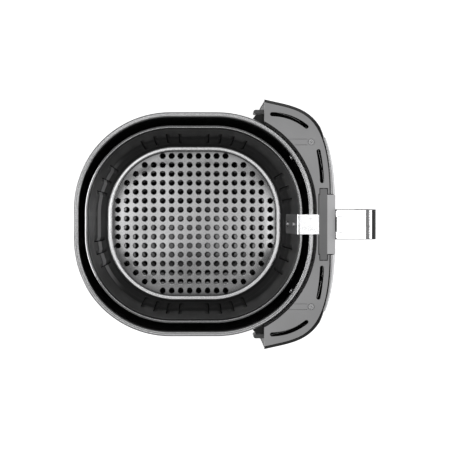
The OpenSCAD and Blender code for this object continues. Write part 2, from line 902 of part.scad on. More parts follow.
module handle_core() {
    color("#2a2a2c")
        difference() {
            union() {
                rotate([90, 0, -90])
                    translate([0, 0, -grip_w / 2])
                        linear_extrude(grip_w)
                            polygon(GRIP_OUTLINE);
                translate([-tongue_w / 2, -base_out_y - 1, tongue_z0])
                    cube([tongue_w, base_out_y + 1 - base_split_y, tongue_z1 - tongue_z0]);
            }
            // Room for the latch lever, open below at the tongue
            translate([-cavity_w / 2, -base_out_y + 1.5, 0])
                translate([0, 0, tongue_z0 - 5])
                    cube([cavity_w, 12, 16]);
            translate([-cavity_w / 2, -button_in_y - button_len - 1, arm_bottom + 1.8])
                cube([cavity_w, button_len + 6, 11]);
            // Well for the button
            translate([-button_w / 2 - button_gap, -button_in_y - button_len - button_gap, 122])
                cube([button_w + 2 * button_gap, button_len + 2 * button_gap, 40]);
            translate([0, -latch_y, latch_z])
                bar_x(pin_d, tongue_w + 2);
            // Recess for the grip's back
            translate([-back_w / 2 - 0.1, -grip_in_y - back_t, back_z0 - 0.1])
                cube([back_w + 0.2, back_t + 20, back_z1 - back_z0 + 0.2]);
            at_grip_screws()
                bar_out(screw_d, 10);
            at_core_screws()
                bar_out(screw_d, core_screw_len);
        }
}

// Polished plate over the top of the handle, turned down at its outer edge
module handle_trim() {
    color("#f0f0f2")
        difference() {
            rotate([90, 0, -90])
                translate([0, 0, -grip_w / 2])
                    linear_extrude(grip_w)
                        polygon([
                            [base_out_y + 0.3, arm_top],
                            [grip_out_y - 12.2, arm_top],
                            [grip_out_y - 8.7, arm_top - 0.4],
                            [grip_out_y - 5.3, arm_top - 1.4],
                            [grip_out_y - 5.1, arm_top - 0.4],
                            [grip_out_y - 8.6, handle_top - 0.7],
                            [grip_out_y - 12.2, handle_top],
                            [base_out_y + 0.3, handle_top]
                        ]);
            translate([-button_w / 2 - button_gap, -button_in_y - button_len - button_gap, 0])
                cube([button_w + 2 * button_gap, button_len + 2 * button_gap, 200]);
            // Recess, slits and cut corners at the plate's root
            translate([-button_w / 2, -base_out_y - 1.3, arm_top - 1])
                cube([button_w, 2, 5]);
            for (side = [-1, 1]) {
                translate([side * 12.4 - 0.4, -base_out_y - 4.4, handle_top - 1])
                    cube([0.8, 5, 5]);
                translate([side * (button_w / 2 + 0.35) - 0.35, -base_out_y - 6.8, arm_top - 1])
                    cube([0.7, 4.7, 5]);
                translate([side * grip_w / 2, -base_out_y - 0.3, arm_top - 1])
                    rotate([0, 0, 45])
                        cube([2, 2, 10], center = true);
            }
        }
}

// Screws that hold the grip's back
module at_grip_screws() {
    for (z = [back_z0 + 10, back_z1 - 10])
        translate([0, -grip_in_y, z])
            children();
}

module grip_back() {
    color("#3a3a3c")
        difference() {
            translate([-back_w / 2, -grip_in_y - back_t, back_z0])
                cube([back_w, back_t, back_z1 - back_z0]);
            at_grip_screws()
                screw_hole(10);
        }
}

module handle_screws() {
    color("#cfcfd1")
        union() {
            at_strap_screws()
                screw();
            at_core_screws()
                screw(core_screw_len);
            at_grip_screws()
                screw(10);
        }
}

module release_button() {
    color("#f4f4f6")
        union() {
            translate([-button_w / 2, -button_in_y - button_len, handle_top - 7])
                cube([button_w, button_len, 7]);
            translate([-3, -stem_y - stem_d / 2, stem_z + stem_d / 2])
                cube([6, stem_d, handle_top - 7 - stem_z - stem_d / 2 + eps]);
            translate([0, -stem_y, stem_z + stem_d / 2])
                bar_x(stem_d, 6);
        }
}

module button_spring() {
    z0 = arm_bottom + 1.8;
    color("#b0b0b4")
        translate([0, -button_in_y - button_len + 2.6, z0])
            coil_spring(3.8, 0.6, handle_top - 7 - z0, 5);
}

// Rocking lever: outer arm under the button's stem, leg down to the catch
module latch_lever() {
    color("#55565a")
        difference() {
            union() {
                translate([0, -latch_y, latch_z])
                    bar_x(latch_hub_d, latch_w);
                translate([-latch_w / 2, -stem_y - 2, latch_arm_z])
                    cube([latch_w, stem_y + 2 - latch_y, latch_arm_t]);
                translate([-latch_w / 2, -leg_y - 3, nose_z0])
                    cube([latch_w, 3, latch_z - nose_z0]);
                translate([-latch_w / 2, -nose_y, nose_z0])
                    cube([latch_w, nose_y - leg_y, 4]);
            }
            translate([0, -latch_y, latch_z])
                bar_x(pin_d + 2 * pin_clearance, 40);
        }
}

module latch_pin() {
    color("#c8c8ca")
        translate([0, -latch_y, latch_z])
            bar_x(pin_d, pin_len);
}

module latch_spring() {
    color("#b0b0b4")
        translate([0, -base_split_y + 4.7, spring_z])
            rotate([90, 0, 0])
                coil_spring(4.4, 0.5, leg_y - base_split_y + 4.7, 4);
}

pan();
pan_rivets();
pan_bracket();
front_frame();
front_shell();
front_fascia();
right_cover();
left_cover();
cover_screws();
side_tabs();
catch_plate();
basket();
basket_floor();
bracket_plate();
basket_rivets();
basket_strap();
handle_base();
handle_cap();
handle_core();
handle_trim();
grip_back();
handle_screws();
release_button();
button_spring();
latch_lever();
latch_pin();
latch_spring();
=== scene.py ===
# Looks for the air fryer drawer: pan, lift-out basket, front panel and handle.
# Shapes are in millimetres, lights and camera in metres.
import json
import math

import bmesh
import bpy
from mathutils import Matrix, Vector
from mathutils.geometry import delaunay_2d_cdt


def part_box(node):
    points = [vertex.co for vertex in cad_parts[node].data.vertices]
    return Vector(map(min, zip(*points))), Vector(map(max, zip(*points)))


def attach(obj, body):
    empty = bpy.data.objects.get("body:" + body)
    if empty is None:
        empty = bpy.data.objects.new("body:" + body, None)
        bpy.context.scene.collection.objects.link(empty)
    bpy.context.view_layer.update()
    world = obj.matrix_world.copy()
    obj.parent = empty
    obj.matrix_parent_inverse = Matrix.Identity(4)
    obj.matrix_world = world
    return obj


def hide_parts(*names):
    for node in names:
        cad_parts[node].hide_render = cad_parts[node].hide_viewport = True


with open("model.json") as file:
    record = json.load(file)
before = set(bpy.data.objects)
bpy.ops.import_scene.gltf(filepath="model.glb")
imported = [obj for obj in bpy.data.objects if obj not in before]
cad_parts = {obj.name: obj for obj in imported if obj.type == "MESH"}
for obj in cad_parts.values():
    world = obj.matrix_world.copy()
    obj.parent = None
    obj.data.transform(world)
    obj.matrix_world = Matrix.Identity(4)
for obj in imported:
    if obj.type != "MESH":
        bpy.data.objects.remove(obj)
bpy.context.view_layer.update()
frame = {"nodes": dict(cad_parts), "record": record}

MM = 0.001

# ---------------------------------------------------------------- mesh helpers

# Points this close, in metres, are one point
MERGE = 1e-6
# Angles in degrees: faces closer than the first are merged, edges above the second are rounded
SAME_FACE, ROUNDED_ANGLE = 1.0, 28.0
# Shorter edges aren't rounded
ROUNDED_LENGTH = 0.9
ROUND_STEPS = 3


def smooth(t):
    """A soft step: 0 up to t = 0, then rising to 1 at t = 1."""
    t = min(1.0, max(0.0, t))
    return t * t * (3 - 2 * t)


def weigh_normals(mesh, limit):
    """Shading normals weighted by face area, so that flat faces stay flat beside rounded edges."""
    around = [[] for _ in mesh.vertices]
    for face in mesh.polygons:
        for v in face.vertices:
            around[v].append((face.normal.copy(), face.normal * face.area))
    least = math.cos(limit)
    normals = []
    for face in mesh.polygons:
        for v in face.vertices:
            total = Vector((0, 0, 0))
            for normal, weighted in around[v]:
                if normal.dot(face.normal) > least:
                    total += weighted
            normals.append(total.normalized())
    mesh.normals_split_custom_set(normals)


def smooth_shade(mesh, sharp, flat):
    """Shades a mesh smoothly across edges below an angle, by face area where flat is set."""
    bm = bmesh.new()
    bm.from_mesh(mesh)
    bmesh.ops.remove_doubles(bm, verts=bm.verts, dist=MERGE)
    bmesh.ops.recalc_face_normals(bm, faces=bm.faces)
    for face in bm.faces:
        face.smooth = True
    limit = math.radians(sharp)
    for edge in bm.edges:
        edge.smooth = edge.is_manifold and edge.calc_face_angle(0.0) < limit
    bm.to_mesh(mesh)
    bm.free()
    if flat:
        weigh_normals(mesh, limit)


def mesh_from(name, points, faces):
    """A mesh from points in millimetres."""
    mesh = bpy.data.meshes.new(name)
    mesh.from_pydata([Vector(p) * MM for p in points], [], faces)
    mesh.update()
    return mesh


def loft(name, rings):
    """Quads through rings of points, with a flat face at each end."""
    count = len(rings[0])
    points = [p for ring in rings for p in ring]
    faces = []
    for j in range(len(rings) - 1):
        low, high = j * count, (j + 1) * count
        for i in range(count):
            k = (i + 1) % count
            faces.append((low + i, low + k, high + k, high + i))
    faces.append(tuple(reversed(range(count))))
    faces.append(tuple((len(rings) - 1) * count + i for i in range(count)))
    return mesh_from(name, points, faces)


def refined(node, bevel):
    """A copy of a CAD node's mesh with its flat faces merged and its edges rounded."""
    mesh = frame["nodes"][node].data.copy()
    bm = bmesh.new()
    bm.from_mesh(mesh)
    bmesh.ops.remove_doubles(bm, verts=bm.verts, dist=2 * MERGE)
    bmesh.ops.dissolve_limit(
        bm, angle_limit=math.radians(SAME_FACE), verts=bm.verts, edges=bm.edges
    )
    if bevel:
        limit = math.radians(ROUNDED_ANGLE)
        edges = [
            e
            for e in bm.edges
            if e.is_manifold
            and e.calc_face_angle(0.0) > limit
            and e.calc_length() > ROUNDED_LENGTH * MM
        ]
        bmesh.ops.bevel(
            bm,
            geom=edges,
            offset=bevel * MM,
            segments=ROUND_STEPS,
            profile=0.5,
            affect="EDGES",
            clamp_overlap=True,
        )
    bmesh.ops.triangulate(bm, faces=[f for f in bm.faces if len(f.verts) > 4])
    bm.to_mesh(mesh)
    bm.free()
    return mesh


def rounded_box(half_x, half_y, radius, z, arc=24, straight=8):
    """Anticlockwise outline of a rectangle with round corners, in millimetres."""

    def on_corner(quarter, degrees):
        sx = 1 if quarter in (0, 3) else -1
        sy = 1 if quarter < 2 else -1
        a = math.radians(degrees)
        x = sx * (half_x - radius) + radius * math.cos(a)
        return x, sy * (half_y - radius) + radius * math.sin(a)

    points = []
    for quarter in range(4):
        for i in range(arc + 1):
            x, y = on_corner(quarter, 90 * quarter + 90 * i / arc)
            points.append((x, y, z))
        next_x, next_y = on_corner((quarter + 1) % 4, 90 * (quarter + 1))
        for i in range(1, straight):
            t = i / straight
            points.append((x + (next_x - x) * t, y + (next_y - y) * t, z))
    return points


def shrunk(half_x, half_y, radius, inset, z):
    """A level of a profile: a rounded box shrunk by an inset, at a height."""
    return half_x - inset, half_y - inset, radius - inset, z


def grown(box, out, turn, z):
    """A level of a profile: a rounded box grown by out, its corner radius by turn, at a height."""
    half_x, half_y, radius = box
    return half_x + out, half_y + out, radius + turn, z


# ---------------------------------------------------------------- materials

# Name of the factor that a mesh carries at its points for the shaded finishes: painted shade that
# darkens their colour
SHADE = "shade"
COAT_ROUGHNESS = 0.34


class Shader:
    """A Principled material with short calls for the nodes that these materials share."""

    def __init__(self, name):
        self.material = bpy.data.materials.new(name)
        self.material.use_nodes = True
        self.tree = self.material.node_tree
        self.bsdf = self.tree.nodes["Principled BSDF"]
        self.place = self.add("ShaderNodeTexCoord").outputs["Object"]

    def add(self, kind, **values):
        node = self.tree.nodes.new(kind)
        for key, value in values.items():
            setattr(node, key, value)
        return node

    def link(self, source, target):
        self.tree.links.new(source, target)

    def set(self, **values):
        """Constant values of the surface, by the sockets' names with _ for spaces."""
        for key, value in values.items():
            self.bsdf.inputs[key.replace("_", " ")].default_value = value

    def noise(self, scale, detail=3.0, stretch=None, rough=0.5):
        """Noise over the object's own space; stretch scales the three axes."""
        place = self.place
        if stretch:
            mapping = self.add("ShaderNodeMapping")
            mapping.inputs["Scale"].default_value = stretch
            self.link(place, mapping.inputs["Vector"])
            place = mapping.outputs["Vector"]
        node = self.add("ShaderNodeTexNoise")
        node.inputs["Scale"].default_value = scale
        node.inputs["Detail"].default_value = detail
        node.inputs["Roughness"].default_value = rough
        self.link(place, node.inputs["Vector"])
        return node.outputs["Fac"]

    def tones(self, value, dark, light):
        """Colour from dark to light grey along a noise value."""
        node = self.add("ShaderNodeValToRGB")
        node.color_ramp.elements[0].position = 0.3
        node.color_ramp.elements[1].position = 0.7
        node.color_ramp.elements[0].color = (dark, dark, dark * 1.01, 1)
        node.color_ramp.elements[1].color = (light, light, light * 1.01, 1)
        self.link(value, node.inputs["Fac"])
        self.link(node.outputs["Color"], self.bsdf.inputs["Base Color"])

    def shade(self):
        """Darkens the colour by the factor that the mesh carries: painted shade."""
        value = self.add("ShaderNodeAttribute", attribute_name=SHADE).outputs["Fac"]
        node = self.add("ShaderNodeVectorMath", operation="SCALE")
        colour = self.bsdf.inputs["Base Color"].links[0].from_socket
        self.link(colour, node.inputs[0])
        self.link(value, node.inputs["Scale"])
        self.link(node.outputs["Vector"], self.bsdf.inputs["Base Color"])

    def roughness(self, value, low, high):
        """Roughness from low to high along a noise value."""
        node = self.add("ShaderNodeMapRange")
        node.inputs["From Min"].default_value = 0.3
        node.inputs["From Max"].default_value = 0.7
        node.inputs["To Min"].default_value = low
        node.inputs["To Max"].default_value = high
        self.link(value, node.inputs["Value"])
        self.link(node.outputs["Result"], self.bsdf.inputs["Roughness"])

    def bump(self, value, height, strength):
        """Relief of a height in metres."""
        node = self.add("ShaderNodeBump")
        node.inputs["Strength"].default_value = strength
        node.inputs["Distance"].default_value = height
        self.link(value, node.inputs["Height"])
        self.link(node.outputs["Normal"], self.bsdf.inputs["Normal"])


def coating(name, dark, light, metallic, rough, grain=900, height=0.00004, gloss=0.0, shaded=False):
    """Non-stick coating: metallic flecks, cloudy gloss and a faint orange peel."""
    s = Shader(name)
    s.set(Metallic=metallic, Coat_Weight=gloss, Coat_Roughness=COAT_ROUGHNESS)
    s.tones(s.noise(grain, 4.0), dark, light)
    s.roughness(s.noise(25, 3.0), rough - 0.04, rough + 0.05)
    s.bump(s.noise(grain * 0.6, 2.0), height, 0.35)
    # Painted shade: where shaded is set, the colour is darkened by the factor that the mesh carries
    if shaded:
        s.shade()
    return s.material


def steel(name, dark, light, rough, along=(1, 1, 1), height=0.00002):
    """Sheet steel, brushed along the axis that along leaves shortest."""
    s = Shader(name)
    s.set(Metallic=1.0)
    grain = s.noise(400, 5.0, along, 0.6)
    s.tones(grain, dark, light)
    s.roughness(grain, rough - 0.03, rough + 0.06)
    s.bump(grain, height, 0.25)
    return s.material


def plastic(name, dark, light, rough, grain=1400, height=0.00003, sheen=0.5):
    """Moulded plastic with a fine spark-eroded grain and slow gloss changes."""
    s = Shader(name)
    s.set(Specular_IOR_Level=sheen)
    s.tones(s.noise(18, 4.0), dark, light)
    s.roughness(s.noise(60, 3.0), rough - 0.04, rough + 0.04)
    s.bump(s.noise(grain, 2.0), height, 0.3)
    return s.material


# Finishes by slot, and five more that parts of the pan and the basket have. The rim, bead and
# shoulder ones are lighter copies of the coating, painted highlight; the lower one is a darker copy,
# painted shade.
# The two numbers after each name are its darkest and lightest grey.
MATERIALS = {
    "pan_coating": coating("pan_coating", 0.07, 0.09, 0.6, 0.24),
    "basket_coating": coating("basket_coating", 0.02, 0.028, 0.3, 0.4, gloss=0.4),
    # Its colour is darkened towards the plate's edge by painted shade
    "floor_coating": coating("floor_coating", 0.39, 0.45, 0.97, 0.13, 1100, 0.00001, shaded=True),
    # Painted highlight: the coating made lighter on the rims, so that the lamps' real glints on them
    # come out bright
    "rim_coating": coating("rim_coating", 0.48, 0.54, 0.95, 0.2),
    # Painted highlight: a lighter copy of the coating on the bead round the floor
    "bead_coating": coating("bead_coating", 0.68, 0.74, 0.95, 0.14, height=0.00002),
    "well_coating": coating("well_coating", 0.09, 0.11, 1.0, 0.07, 900, 0.000006),
    # Painted highlight: a lighter copy of the coating on the shoulder
    "shoulder_coating": coating("shoulder_coating", 0.36, 0.42, 0.2, 0.4, shaded=True),
    # Painted shade: a darker, rougher copy of the coating on the lower inner wall
    "lower_coating": coating("lower_coating", 0.014, 0.02, 0.1, 0.5),
    "steel": steel("bright_steel", 0.72, 0.82, 0.22),
    "black_steel": coating("black_steel", 0.012, 0.018, 0.3, 0.4),
    "dark_steel": steel("dark_steel", 0.5, 0.58, 0.36, (1, 8, 1)),
    "brushed_steel": steel("brushed_steel", 0.9, 0.97, 0.2, (10, 0.6, 1)),
    "polished_steel": steel("polished_steel", 0.95, 0.98, 0.12, (6, 0.5, 1), 0.00001),
    "spring_steel": steel("spring_steel", 0.45, 0.55, 0.3),
    "grey_plastic": plastic("grey_plastic", 0.2, 0.24, 0.42),
    "frame_plastic": plastic("frame_plastic", 0.006, 0.009, 0.5),
    "black_gloss": plastic("black_gloss", 0.008, 0.012, 0.1, 500, 0.00001),
    "silver_panel": coating("silver_panel", 0.5, 0.57, 0.7, 0.27, 1300),
    "satin_cover": plastic("satin_cover", 0.46, 0.54, 0.4),
    "base_plastic": plastic("base_plastic", 0.24, 0.34, 0.42),
    "cap_plastic": plastic("cap_plastic", 0.78, 0.86, 0.36),
    "handle_black": plastic("handle_black", 0.012, 0.018, 0.5, sheen=0.2),
    "grip_plastic": plastic("grip_plastic", 0.02, 0.028, 0.5, 900, 0.00008),
    "lever_plastic": plastic("lever_plastic", 0.05, 0.065, 0.4),
}
SLOT_OF = {row["node"]: row["material_slot"] for row in frame["record"]["subparts"]}
BODY_OF = {
    node: body
    for body, nodes in frame["record"]["behaviour"]["bodies"].items()
    for node in nodes
}


def put(name, mesh, node, sharp, flat=False):
    """Puts a mesh in the place of a CAD node, with that node's body and its slot's material."""
    smooth_shade(mesh, sharp, flat)
    piece = bpy.data.objects.new(name, mesh)
    bpy.context.scene.collection.objects.link(piece)
    mesh.materials.clear()
    mesh.materials.append(MATERIALS[SLOT_OF[node]])
    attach(piece, BODY_OF[node])
    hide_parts(node)
    return piece


def paint(piece, finishes, choose):
    """Gives faces another finish where choose, called with centre and normal, names one."""
    for name in finishes:
        piece.data.materials.append(MATERIALS[name])
    for face in piece.data.polygons:
        chosen = choose(face.center / MM, face.normal)
        if chosen:
            face.material_index = 1 + finishes.index(chosen)


def shade_points(piece, factor):
    """Stores the painted shade factor of each point, from its place in millimetres."""
    shade = piece.data.attributes.new(SHADE, "FLOAT", "POINT")
    for vertex, value in zip(piece.data.vertices, shade.data):
        value.value = factor(vertex.co.x / MM, vertex.co.y / MM)


# ---------------------------------------------------------------- pan

PAN_X, PAN_Y, PAN_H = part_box("pan")[1] / MM
FLANGE = 5.0
MOUTH_R = 97.0
PAN_R = MOUTH_R + FLANGE
SHEET = 1.2
# Half X, half Y and corner radius of the mouth, the wall's foot and the well
MOUTH = (PAN_X - FLANGE, PAN_Y - FLANGE, MOUTH_R)
WALL_FOOT = (103.0, 112.0, 84.0)
WELL = (78.0, 88.5, 66.0)
# How far the basket's floor plate sinks towards its edge, and its gap to the pan's ledge
FLOOR_SINK, LEDGE_GAP = 0.9, 0.3
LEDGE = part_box("basket_floor")[0].z / MM - LEDGE_GAP - FLOOR_SINK
# The rim's section as (inset from its edge, drop from its top), from below, over it and inward
PAN_RIM = (
    (FLANGE - 1.8, 2.6), (1.6, 2.6), (0.5, 2.9), (0.1, 2.3), (0.0, 1.4), (0.15, 0.7),
    (0.6, 0.2), (1.1, 0.02), (1.6, 0.0), (2.1, 0.05), (2.6, 0.09), (3.1, 0.05), (3.6, 0.0),
    (4.1, 0.05), (4.6, 0.16), (FLANGE, 0.4), (FLANGE + 0.4, 0.9), (FLANGE + 0.75, 1.7),
    (FLANGE + 1.0, 3.0), (FLANGE + 1.1, 5.0), (FLANGE + 1.1, 9.0),
)
# The rim's painted highlight, a lighter copy of the coating, reaches this far down, and the well's
# finish this far up
RIM_HIGHLIGHT_DEPTH, WELL_FINISH = 5.5, 3.0


def make_pan():
    """Deep-drawn pan: flat bottom, well, ledge for the basket, drafted wall and beaded rim."""
    below = LEDGE - SHEET
    levels = [
        # outside, from the bottom up
        grown(WELL, -7, -7, 0.0),
        grown(WELL, -4, -4, 0.5),
        grown(WELL, -2, -2, 2.0),
        grown(WELL, -0.6, -0.6, 4.2),
        grown(WELL, 0, 0, 7.0),
        grown(WELL, 1.3, 0, below - 4.5),
        grown(WELL, 1.9, 0.5, below - 2.0),
        grown(WELL, 3.5, 2, below),
        grown(WALL_FOOT, -5, -5, below),
        grown(WALL_FOOT, -1.6, -1.6, below + 0.6),
        grown(WALL_FOOT, 0.4, -0.4, LEDGE + 1.0),
        grown(WALL_FOOT, SHEET, 0, LEDGE + 3.5),
        grown(MOUTH, SHEET, SHEET, PAN_H - 3.4),
    ]
    levels += [shrunk(PAN_X, PAN_Y, PAN_R, inset, PAN_H - drop) for inset, drop in PAN_RIM]
    levels += [
        # inside, back down
        grown(WALL_FOOT, 0, -SHEET, LEDGE + 3.5),
        grown(WALL_FOOT, -0.8, -1.8, LEDGE + 1.2),
        grown(WALL_FOOT, -3.2, -4, LEDGE),
        grown(WELL, 3.2, 1, LEDGE),
        grown(WELL, 1.2, 0, LEDGE - 0.9),
        grown(WELL, 0.4, -0.6, LEDGE - 3.0),
        grown(WELL, -SHEET, -2, 7.0),
        grown(WELL, -1.9, -2.7, 4.4),
        grown(WELL, -3.4, -4.4, 2.3),
        grown(WELL, -8, -9, SHEET),
    ]
    mesh = loft("pan", [rounded_box(*level) for level in levels])
    pan = put("pan_shell", mesh, "pan", sharp=50)

    # The rim gets painted highlight, a lighter copy of the coating; the well gets its own glossier
    # finish
    def finish(centre, normal):
        if centre.z > PAN_H - RIM_HIGHLIGHT_DEPTH:
            return "rim_coating"
        if centre.z < WELL_FINISH and normal.z > 0.5:
            return "well_coating"
        return None

    paint(pan, ("rim_coating", "well_coating"), finish)


# ---------------------------------------------------------------- basket

BASKET_X, BASKET_Y, BASKET_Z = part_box("basket")[1] / MM
BASKET_R = 92.0
FLOOR_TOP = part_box("basket_floor")[1].z / MM
SHOULDER_X, SHOULDER_Y, SHOULDER_R = 95.6, 106.0, 85.0
SHOULDER_LOW, SHOULDER_HIGH, SHOULDER_IN = 65.0, 75.0, 3.8
FOOT_X, FOOT_Y, FOOT_R = 87.0, 97.6, 77.0
WALL = 1.0
# Radius and middle of the rolled rim, and the inset and top of the wall below it
ROLL = 2.1
ROLL_Z = BASKET_Z - ROLL
WALL_IN, WALL_TOP = 2.8, ROLL_Z - ROLL - 0.4
# The bead round the floor as (inset, height above the floor), down its inner side, and how high its
# painted highlight, a lighter copy of the coating, reaches
BEAD = (
    (0.9, 8.0), (1.1, 6.2), (1.5, 4.9), (1.9, 4.1), (2.4, 3.65), (3.2, 3.6),
    (4.2, 3.6), (5.2, 3.58), (6.1, 3.45), (6.6, 2.9), (6.95, 1.8),
)
BEAD_HIGHLIGHT_TOP = 4.2
# Heights where the wall bends or wants a row of points
WALL_HEIGHTS = {34.0, 38.0, 55.0, 59.0, 61.0, 63.0, 64.5, 66.0, 68.0, 70.0, 72.0, 73.5}
WALL_HEIGHTS |= {75.0, 77.0, 79.0, 82.0, 97.0, 103.0, 109.0, 115.0}
# Vents: pitch, width, foot and height, how far an edge is pressed out and how wide that is
VENT_PITCH, VENT_W, VENT_Z, VENT_H = 13.5, 1.0, 43.0, 49.0
VENT_PRESS, VENT_REACH = 1.7, 4.6
# First vent from the middle and number of vents, on the sides and on the front and rear
SIDE_VENTS, END_VENTS = (16.0, 4), (27.0, 3)
REAR_SHIFT = 8.0
# Rows of points from a vent's ends, and columns of points beside it
VENT_ROWS = (-3.0, -1.5, 0.0, 0.8, 2.0, 4.0, 7.0)
VENT_COLUMNS = (VENT_W / 2, 1.2, 1.9, 2.8, 3.9, 5.2)
COLUMN_PITCH = 3.2


def rim(inset, z):
    return shrunk(BASKET_X, BASKET_Y, BASKET_R, inset, z)


def foot(inset, z):
    return shrunk(FOOT_X, FOOT_Y, FOOT_R, inset, FLOOR_TOP + z)


def shoulder(inset, z):
    return shrunk(SHOULDER_X, SHOULDER_Y, SHOULDER_R, inset, z)


# Outer face of the wall from the floor up
WALL_KNOTS = [
    foot(0.0, 2.0),
    shoulder(SHOULDER_IN + 0.15, SHOULDER_LOW - 4),
    shoulder(SHOULDER_IN - 0.2, SHOULDER_LOW - 0.5),
    shoulder(SHOULDER_IN * 0.68, SHOULDER_LOW + 3),
    shoulder(SHOULDER_IN * 0.3, SHOULDER_LOW + 7),
    shoulder(0.15, SHOULDER_HIGH),
    shoulder(-0.35, SHOULDER_HIGH + 3.5),
    rim(WALL_IN, WALL_TOP),
]


def wall_level(z, inset):
    """The wall's level at a height, shrunk by an inset: straight between the knots."""
    for low, high in zip(WALL_KNOTS, WALL_KNOTS[1:]):
        if z <= high[3]:
            t = (z - low[3]) / (high[3] - low[3])
            box = [p + (q - p) * t for p, q in zip(low[:3], high[:3])]
            return shrunk(*box, inset, z)
    return rim(WALL_IN + inset, z)


def basket_levels():
    """Levels of the basket's wall: up its outer face, over the roll and down its inner face.

    Returns them with the numbers of the outer and the inner level at each height of the wall.
    """
    heights = WALL_HEIGHTS | {VENT_Z + d for d in VENT_ROWS}
    heights |= {VENT_Z + VENT_H - d for d in VENT_ROWS}
    wall = [z for z in sorted(heights) if FLOOR_TOP + 6 < z < ROLL_Z - ROLL - 1]
    levels = [foot(7.1, 0.1), foot(6.8, 0.0), foot(1.0, 0.0), foot(0.3, 0.6), foot(0.0, 2.0)]
    outer = {z: len(levels) + i for i, z in enumerate(wall)}
    levels += [wall_level(z, 0.0) for z in wall]
    levels.append(rim(WALL_IN, WALL_TOP))
    for degrees in range(-60, 181, 20):
        a = math.radians(degrees)
        levels.append(rim(ROLL - ROLL * math.cos(a), ROLL_Z + ROLL * math.sin(a)))
    levels.append(rim(WALL_IN + WALL, WALL_TOP))
    inner = {z: len(levels) + i for i, z in enumerate(reversed(wall))}
    levels += [wall_level(z, WALL) for z in reversed(wall)]
    levels += [foot(inset, z) for inset, z in BEAD]
    return levels, outer, inner


class Outline:
    """Places round the basket by arc length on the shoulder, shared by outlines of all sizes.

    The faces are numbered front, right, rear, left. The length starts in the front's middle.
    """

    def __init__(self):
        self.flat_x = 2 * (SHOULDER_X - SHOULDER_R)
        self.flat_y = 2 * (SHOULDER_Y - SHOULDER_R)
        self.arc = SHOULDER_R * math.pi / 2
        self.length = 2 * (self.flat_x + self.flat_y) + 4 * self.arc

    def parameter(self, face, along):
        """Arc length at a distance along a face from its middle."""
        middle = (
            0.0,
            self.flat_x / 2 + self.arc + self.flat_y / 2,
            self.flat_x + 2 * self.arc + self.flat_y,
            self.flat_x * 1.5 + 3 * self.arc + self.flat_y * 1.5,
        )[face]
        flat = (self.flat_y if face % 2 else self.flat_x) / 2
        past = max(0.0, abs(along) - flat)
        turn = math.asin(min(1.0, past / SHOULDER_R)) * SHOULDER_R
        return (middle + math.copysign(min(abs(along), flat) + turn, along)) % self.length

    def apart(self, u, v):
        """Shortest way from v to u along the outline, negative backward."""
        return (u - v + self.length / 2) % self.length - self.length / 2

    def place(self, u, half_x, half_y, radius):
        """Point and outward normal at an arc length, on a rounded box of this size."""
        u = (u % self.length + self.flat_x / 2) % self.length
        runs = []
        for face in range(4):
            flat = self.flat_y if face % 2 else self.flat_x
            runs += [("flat", face, flat), ("arc", face, self.arc)]
        for kind, face, length in runs:
            if u <= length:
                break
            u -= length
        t = min(1.0, u / length)
        along = (half_y if face % 2 else half_x) - radius
        across = half_x if face % 2 else half_y
        turn = math.radians(90 * face - 90)
        out = (math.cos(turn), math.sin(turn))
        side = (-out[1], out[0])
        if kind == "flat":
            p = along * (2 * t - 1)
            return (out[0] * across + side[0] * p, out[1] * across + side[1] * p), out
        a = turn + math.pi / 2 * t
        n = (math.cos(a), math.sin(a))
        x = out[0] * (across - radius) + side[0] * along
        y = out[1] * (across - radius) + side[1] * along
        return (x + radius * n[0], y + radius * n[1]), n


def vent_places():
    """Each vent's face, distance from the face's middle, and side that is pressed out."""
    for face in range(4):
        first, number = SIDE_VENTS if face % 2 else END_VENTS
        shift = -REAR_SHIFT if face == 2 else 0.0
        for side in (-1, 1):
            for k in range(number):
                yield face, side * (first + VENT_PITCH * k) + shift, -side


def wall_columns(outline, vents):
    """Arc lengths of the wall's columns: even ones, and closer ones beside each vent."""
    beside = [
        (u + side * step) % outline.length
        for u, _ in vents
        for side in (-1, 1)
        for step in VENT_COLUMNS
    ]
    count = int(outline.length / COLUMN_PITCH)
    even = [outline.length * i / count for i in range(count)]
    clear = [
        v
        for v in even
        if all(min(abs(v - u), outline.length - abs(v - u)) > 2 * COLUMN_PITCH for u, _ in vents)
    ]
    return sorted(clear + beside)


def pressed_out(outline, vents, u, z):
    """How far the sheet beside a vent is pressed outward."""
    if not VENT_Z < z < VENT_Z + VENT_H:
        return 0.0
    ends = smooth((z - VENT_Z) / 5.0) * smooth((VENT_Z + VENT_H - z) / 5.0)
    for v, side in vents:
        d = side * outline.apart(u, v)
        if VENT_W / 2 - 1e-6 <= d <= VENT_REACH:
            return VENT_PRESS * ends * smooth(1 - (d - VENT_W / 2) / (VENT_REACH - VENT_W / 2))
    return 0.0


def wall_faces(rows, count, slots, outer, inner):
    """Quads round a closed wall of rows and columns, with slots open through both its faces."""

    def at(row, column):
        return row % rows * count + column % count

    heights = [z for z in outer if VENT_Z <= z <= VENT_Z + VENT_H]
    pairs = [(outer[z], inner[z]) for z in heights]
    open_rows = {out for out, _ in pairs[:-1]} | {into for _, into in pairs[1:]}
    faces = []
    for j in range(rows):
        for i in range(count):
            if i not in slots or j not in open_rows:
                faces.append((at(j, i), at(j, i + 1), at(j + 1, i + 1), at(j + 1, i)))
    for i in slots:
        for (j, a), (k, b) in zip(pairs, pairs[1:]):
            faces.append((at(j, i), at(k, i), at(b, i), at(a, i)))
            faces.append((at(j, i + 1), at(a, i + 1), at(b, i + 1), at(k, i + 1)))
        (j, a), (k, b) = pairs[0], pairs[-1]
        faces.append((at(j, i), at(a, i), at(a, i + 1), at(j, i + 1)))
        faces.append((at(k, i + 1), at(b, i + 1), at(b, i), at(k, i)))
    return faces


